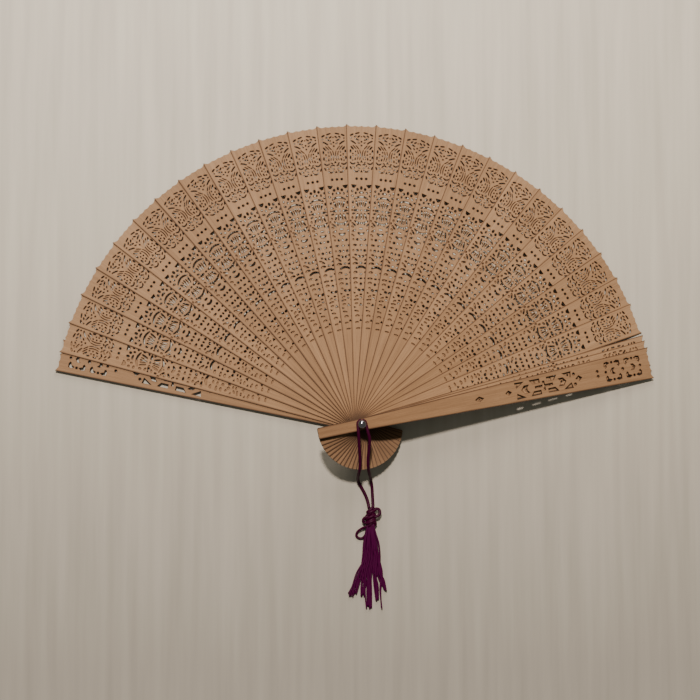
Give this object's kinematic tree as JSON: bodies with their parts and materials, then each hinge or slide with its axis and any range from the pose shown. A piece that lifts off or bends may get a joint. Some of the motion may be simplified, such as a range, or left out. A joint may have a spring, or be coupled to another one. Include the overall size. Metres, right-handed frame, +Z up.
{
  "type": "folding fan",
  "caption": "Open folding fan of pierced wooden sticks between thicker guards on a rivet, linked by a ribbon near the rim, with a tassel on a cord; it folds shut onto the back guard.",
  "frame": {"origin": "centre of the rivet's flat back head, on the surface the fan lies on, on the line of the rivet", "axes": "+Z up along the rivet, +Y from the rivet to the middle of the rim, +X to the front guard's side"},
  "size_m": [0.3552, 0.289, 0.0306],
  "materials": {
    "guard_wood": "satin, fine straight grain along the guard",
    "stick_wood": "satin, fine straight grain along the stick",
    "rivet_steel": "polished",
    "ribbon": "thin woven ribbon",
    "tassel_silk": "glossy twisted thread"
  },
  "bodies": {
    "back_guard_and_rivet": {"back_guard": "guard_wood", "rivet": "rivet_steel", "rivet_cap": "rivet_steel", "link_ribbon": "ribbon"},
    "stick_01": {"stick_01": "stick_wood"},
    "stick_02": {"stick_02": "stick_wood"},
    "stick_03": {"stick_03": "stick_wood"},
    "stick_04": {"stick_04": "stick_wood"},
    "stick_05": {"stick_05": "stick_wood"},
    "stick_06": {"stick_06": "stick_wood"},
    "stick_07": {"stick_07": "stick_wood"},
    "stick_08": {"stick_08": "stick_wood"},
    "stick_09": {"stick_09": "stick_wood"},
    "stick_10": {"stick_10": "stick_wood"},
    "stick_11": {"stick_11": "stick_wood"},
    "stick_12": {"stick_12": "stick_wood"},
    "stick_13": {"stick_13": "stick_wood"},
    "stick_14": {"stick_14": "stick_wood"},
    "stick_15": {"stick_15": "stick_wood"},
    "stick_16": {"stick_16": "stick_wood"},
    "stick_17": {"stick_17": "stick_wood"},
    "stick_18": {"stick_18": "stick_wood"},
    "stick_19": {"stick_19": "stick_wood"},
    "stick_20": {"stick_20": "stick_wood"},
    "stick_21": {"stick_21": "stick_wood"},
    "stick_22": {"stick_22": "stick_wood"},
    "stick_23": {"stick_23": "stick_wood"},
    "stick_24": {"stick_24": "stick_wood"},
    "stick_25": {"stick_25": "stick_wood"},
    "stick_26": {"stick_26": "stick_wood"},
    "stick_27": {"stick_27": "stick_wood"},
    "stick_28": {"stick_28": "stick_wood"},
    "front_guard": {"front_guard": "guard_wood"},
    "tassel": {"tassel_cord_left": "tassel_silk", "tassel_cord_right": "tassel_silk", "tassel_knot": "tassel_silk", "tassel_skirt": "tassel_silk"}
  },
  "joints": [
    {"name": "fold_front_guard", "type": "hinge", "parent": "back_guard_and_rivet", "child": "front_guard", "pos_m": [0, 0, 0.02505], "axis": [0.0617, -0.0005, 0.9981], "range_deg": [0, 154.74], "deforming": ["link_ribbon", "tassel_cord_left", "tassel_cord_right"]},
    {"name": "fold_stick_01", "type": "hinge", "parent": "back_guard_and_rivet", "child": "stick_01", "pos_m": [0, 0, 0.0035], "axis": [0.0116, 0.0438, 0.999], "range_deg": [0, 3.52]},
    {"name": "fold_stick_02", "type": "hinge", "parent": "back_guard_and_rivet", "child": "stick_02", "pos_m": [0, 0, 0.00425], "axis": [0.0138, 0.0432, 0.999], "range_deg": [0, 9.21]},
    {"name": "fold_stick_03", "type": "hinge", "parent": "back_guard_and_rivet", "child": "stick_03", "pos_m": [0, 0, 0.005], "axis": [0.0159, 0.0426, 0.999], "range_deg": [0, 14.91]},
    {"name": "fold_stick_04", "type": "hinge", "parent": "back_guard_and_rivet", "child": "stick_04", "pos_m": [0, 0, 0.00575], "axis": [0.0181, 0.0418, 0.999], "range_deg": [0, 20.61]},
    {"name": "fold_stick_05", "type": "hinge", "parent": "back_guard_and_rivet", "child": "stick_05", "pos_m": [0, 0, 0.0065], "axis": [0.0202, 0.041, 0.999], "range_deg": [0, 26.3]},
    {"name": "fold_stick_06", "type": "hinge", "parent": "back_guard_and_rivet", "child": "stick_06", "pos_m": [0, 0, 0.00725], "axis": [0.0223, 0.0402, 0.9989], "range_deg": [0, 32]},
    {"name": "fold_stick_07", "type": "hinge", "parent": "back_guard_and_rivet", "child": "stick_07", "pos_m": [0, 0, 0.008], "axis": [0.0244, 0.0392, 0.9989], "range_deg": [0, 37.69]},
    {"name": "fold_stick_08", "type": "hinge", "parent": "back_guard_and_rivet", "child": "stick_08", "pos_m": [0, 0, 0.00875], "axis": [0.0265, 0.0382, 0.9989], "range_deg": [0, 43.39]},
    {"name": "fold_stick_09", "type": "hinge", "parent": "back_guard_and_rivet", "child": "stick_09", "pos_m": [0, 0, 0.0095], "axis": [0.0285, 0.037, 0.9989], "range_deg": [0, 49.08]},
    {"name": "fold_stick_10", "type": "hinge", "parent": "back_guard_and_rivet", "child": "stick_10", "pos_m": [0, 0, 0.01025], "axis": [0.0306, 0.0359, 0.9989], "range_deg": [0, 54.78]},
    {"name": "fold_stick_11", "type": "hinge", "parent": "back_guard_and_rivet", "child": "stick_11", "pos_m": [0, 0, 0.011], "axis": [0.0326, 0.0346, 0.9989], "range_deg": [0, 60.47]},
    {"name": "fold_stick_12", "type": "hinge", "parent": "back_guard_and_rivet", "child": "stick_12", "pos_m": [0, 0, 0.01175], "axis": [0.0346, 0.0332, 0.9988], "range_deg": [0, 66.17]},
    {"name": "fold_stick_13", "type": "hinge", "parent": "back_guard_and_rivet", "child": "stick_13", "pos_m": [0, 0, 0.0125], "axis": [0.0366, 0.0318, 0.9988], "range_deg": [0, 71.86]},
    {"name": "fold_stick_14", "type": "hinge", "parent": "back_guard_and_rivet", "child": "stick_14", "pos_m": [0, 0, 0.01325], "axis": [0.0385, 0.0303, 0.9988], "range_deg": [0, 77.55]},
    {"name": "fold_stick_15", "type": "hinge", "parent": "back_guard_and_rivet", "child": "stick_15", "pos_m": [0, 0, 0.014], "axis": [0.0405, 0.0287, 0.9988], "range_deg": [0, 83.25]},
    {"name": "fold_stick_16", "type": "hinge", "parent": "back_guard_and_rivet", "child": "stick_16", "pos_m": [0, 0, 0.01475], "axis": [0.0424, 0.027, 0.9987], "range_deg": [0, 88.94]},
    {"name": "fold_stick_17", "type": "hinge", "parent": "back_guard_and_rivet", "child": "stick_17", "pos_m": [0, 0, 0.0155], "axis": [0.0443, 0.0252, 0.9987], "range_deg": [0, 94.63]},
    {"name": "fold_stick_18", "type": "hinge", "parent": "back_guard_and_rivet", "child": "stick_18", "pos_m": [0, 0, 0.01625], "axis": [0.0462, 0.0233, 0.9987], "range_deg": [0, 100.32]},
    {"name": "fold_stick_19", "type": "hinge", "parent": "back_guard_and_rivet", "child": "stick_19", "pos_m": [0, 0, 0.017], "axis": [0.0481, 0.0213, 0.9986], "range_deg": [0, 106.01]},
    {"name": "fold_stick_20", "type": "hinge", "parent": "back_guard_and_rivet", "child": "stick_20", "pos_m": [0, 0, 0.01775], "axis": [0.0499, 0.0192, 0.9986], "range_deg": [0, 111.7]},
    {"name": "fold_stick_21", "type": "hinge", "parent": "back_guard_and_rivet", "child": "stick_21", "pos_m": [0, 0, 0.0185], "axis": [0.0517, 0.017, 0.9985], "range_deg": [0, 117.39]},
    {"name": "fold_stick_22", "type": "hinge", "parent": "back_guard_and_rivet", "child": "stick_22", "pos_m": [0, 0, 0.01925], "axis": [0.0535, 0.0147, 0.9985], "range_deg": [0, 123.08]},
    {"name": "fold_stick_23", "type": "hinge", "parent": "back_guard_and_rivet", "child": "stick_23", "pos_m": [0, 0, 0.02], "axis": [0.0551, 0.0123, 0.9984], "range_deg": [0, 128.77]},
    {"name": "fold_stick_24", "type": "hinge", "parent": "back_guard_and_rivet", "child": "stick_24", "pos_m": [0, 0, 0.02075], "axis": [0.0566, 0.0097, 0.9983], "range_deg": [0, 134.45]},
    {"name": "fold_stick_25", "type": "hinge", "parent": "back_guard_and_rivet", "child": "stick_25", "pos_m": [0, 0, 0.0215], "axis": [0.0581, 0.007, 0.9983], "range_deg": [0, 140.14]},
    {"name": "fold_stick_26", "type": "hinge", "parent": "back_guard_and_rivet", "child": "stick_26", "pos_m": [0, 0, 0.02225], "axis": [0.0596, 0.0042, 0.9982], "range_deg": [0, 145.82]},
    {"name": "fold_stick_27", "type": "hinge", "parent": "back_guard_and_rivet", "child": "stick_27", "pos_m": [0, 0, 0.023], "axis": [0.061, 0.0008, 0.9981], "range_deg": [0, 152.26]},
    {"name": "fold_stick_28", "type": "hinge", "parent": "back_guard_and_rivet", "child": "stick_28", "pos_m": [0, 0, 0.02375], "axis": [0.0613, 0.0003, 0.9981], "range_deg": [0, 153.36]},
    {"name": "tassel_swing", "type": "hinge", "parent": "back_guard_and_rivet", "child": "tassel", "pos_m": [0, 0, 0.0273], "axis": [0, 0, 1], "range_deg": [-8, 12]}
  ],
  "couplings": [
    {"joint": "fold_stick_01", "follows": "fold_front_guard", "ratio": 0.02264},
    {"joint": "fold_stick_02", "follows": "fold_front_guard", "ratio": 0.05944},
    {"joint": "fold_stick_03", "follows": "fold_front_guard", "ratio": 0.09625},
    {"joint": "fold_stick_04", "follows": "fold_front_guard", "ratio": 0.13306},
    {"joint": "fold_stick_05", "follows": "fold_front_guard", "ratio": 0.16986},
    {"joint": "fold_stick_06", "follows": "fold_front_guard", "ratio": 0.20667},
    {"joint": "fold_stick_07", "follows": "fold_front_guard", "ratio": 0.24347},
    {"joint": "fold_stick_08", "follows": "fold_front_guard", "ratio": 0.28028},
    {"joint": "fold_stick_09", "follows": "fold_front_guard", "ratio": 0.31708},
    {"joint": "fold_stick_10", "follows": "fold_front_guard", "ratio": 0.35388},
    {"joint": "fold_stick_11", "follows": "fold_front_guard", "ratio": 0.39067},
    {"joint": "fold_stick_12", "follows": "fold_front_guard", "ratio": 0.42747},
    {"joint": "fold_stick_13", "follows": "fold_front_guard", "ratio": 0.46426},
    {"joint": "fold_stick_14", "follows": "fold_front_guard", "ratio": 0.50105},
    {"joint": "fold_stick_15", "follows": "fold_front_guard", "ratio": 0.53784},
    {"joint": "fold_stick_16", "follows": "fold_front_guard", "ratio": 0.57463},
    {"joint": "fold_stick_17", "follows": "fold_front_guard", "ratio": 0.61141},
    {"joint": "fold_stick_18", "follows": "fold_front_guard", "ratio": 0.64819},
    {"joint": "fold_stick_19", "follows": "fold_front_guard", "ratio": 0.68496},
    {"joint": "fold_stick_20", "follows": "fold_front_guard", "ratio": 0.72173},
    {"joint": "fold_stick_21", "follows": "fold_front_guard", "ratio": 0.7585},
    {"joint": "fold_stick_22", "follows": "fold_front_guard", "ratio": 0.79526},
    {"joint": "fold_stick_23", "follows": "fold_front_guard", "ratio": 0.83201},
    {"joint": "fold_stick_24", "follows": "fold_front_guard", "ratio": 0.86875},
    {"joint": "fold_stick_25", "follows": "fold_front_guard", "ratio": 0.9055},
    {"joint": "fold_stick_26", "follows": "fold_front_guard", "ratio": 0.94223},
    {"joint": "fold_stick_27", "follows": "fold_front_guard", "ratio": 0.98386},
    {"joint": "fold_stick_28", "follows": "fold_front_guard", "ratio": 0.99096}
  ]
}
